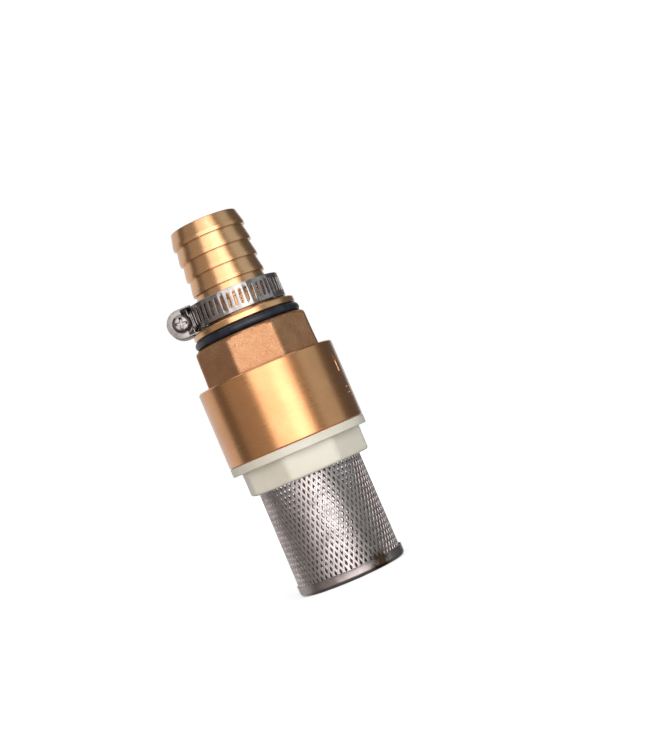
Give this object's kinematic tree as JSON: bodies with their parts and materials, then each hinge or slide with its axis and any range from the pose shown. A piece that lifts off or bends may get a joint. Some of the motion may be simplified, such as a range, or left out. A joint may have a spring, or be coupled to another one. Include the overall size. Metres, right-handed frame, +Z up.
{
  "type": "foot valve",
  "caption": "Brass foot valve for a suction hose: spring check valve with a screw-in mesh strainer below, a barbed hose tail above and a worm-drive hose clamp.",
  "frame": {"origin": "centre of the underside of the strainer's cap, which the valve stands on", "axes": "+Z up along the valve's axis towards the hose tail, -Y is the front, with the clamp's screw housing at -X"},
  "size_m": [0.0476, 0.047, 0.1256],
  "materials": {
    "machined_brass": "turned, satin, fine turning lines",
    "cast_brass": "cast and blasted, matt and sandy",
    "white_nylon": "moulded, slightly translucent white",
    "stainless_mesh": "expanded sheet, bare stainless",
    "stainless_strip": "rolled and pressed, bare stainless",
    "zinc_steel": "bright plated steel",
    "spring_steel": "drawn stainless wire",
    "black_rubber": "smooth black nitrile rubber",
    "black_acetal": "moulded black acetal"
  },
  "bodies": {
    "strainer": {"strainer_cap": "stainless_strip", "strainer_mesh": "stainless_mesh", "strainer_adapter": "white_nylon"},
    "gasket": {"inlet_gasket": "black_rubber"},
    "valve": {"valve_body": "machined_brass", "outlet_bonnet": "cast_brass", "bonnet_gasket": "black_rubber", "stem_guide": "black_acetal", "return_spring": "spring_steel"},
    "poppet": {"poppet": "black_acetal", "poppet_seal": "black_rubber", "seal_retainer": "machined_brass", "retainer_screw": "zinc_steel"},
    "tail_seal": {"tail_o_ring": "black_rubber"},
    "tail": {"hose_tail": "machined_brass"},
    "clamp": {"clamp_band": "stainless_strip", "clamp_housing": "stainless_strip", "clamp_saddle": "stainless_strip"},
    "clamp_worm": {"clamp_screw": "zinc_steel"}
  },
  "joints": [
    {"name": "strainer_travel", "type": "slide", "parent": "strainer", "child": "gasket", "axis": [0, 0, 1], "range_m": [0, 0.0093]},
    {"name": "strainer_unscrew", "type": "hinge", "parent": "gasket", "child": "valve", "pos_m": [0, 0, 0.0472], "axis": [0, 0, 1], "range_deg": [0, 1440]},
    {"name": "poppet_lift", "type": "slide", "parent": "valve", "child": "poppet", "axis": [0, 0, 1], "range_m": [0, 0.0055], "stiffness_N_per_m": 250, "springref_m": -0.0048, "deforming": ["return_spring"]},
    {"name": "tail_travel", "type": "slide", "parent": "valve", "child": "tail_seal", "axis": [0, 0, 1], "range_m": [0, 0.0093]},
    {"name": "tail_unscrew", "type": "hinge", "parent": "tail_seal", "child": "tail", "pos_m": [0, 0, 0.0897], "axis": [0, 0, 1], "range_deg": [0, 1440]},
    {"name": "clamp_slide", "type": "slide", "parent": "tail", "child": "clamp", "axis": [0, 0, 1], "range_m": [0, 0.036]},
    {"name": "clamp_screw_turn", "type": "hinge", "parent": "clamp", "child": "clamp_worm", "pos_m": [-0.0193, 0, 0.097], "axis": [0, -1, 0], "continuous": true}
  ],
  "couplings": [
    {"joint": "strainer_travel", "follows": "strainer_unscrew", "m_per_rad": 0.00036749},
    {"joint": "tail_travel", "follows": "tail_unscrew", "m_per_rad": 0.00036749}
  ]
}
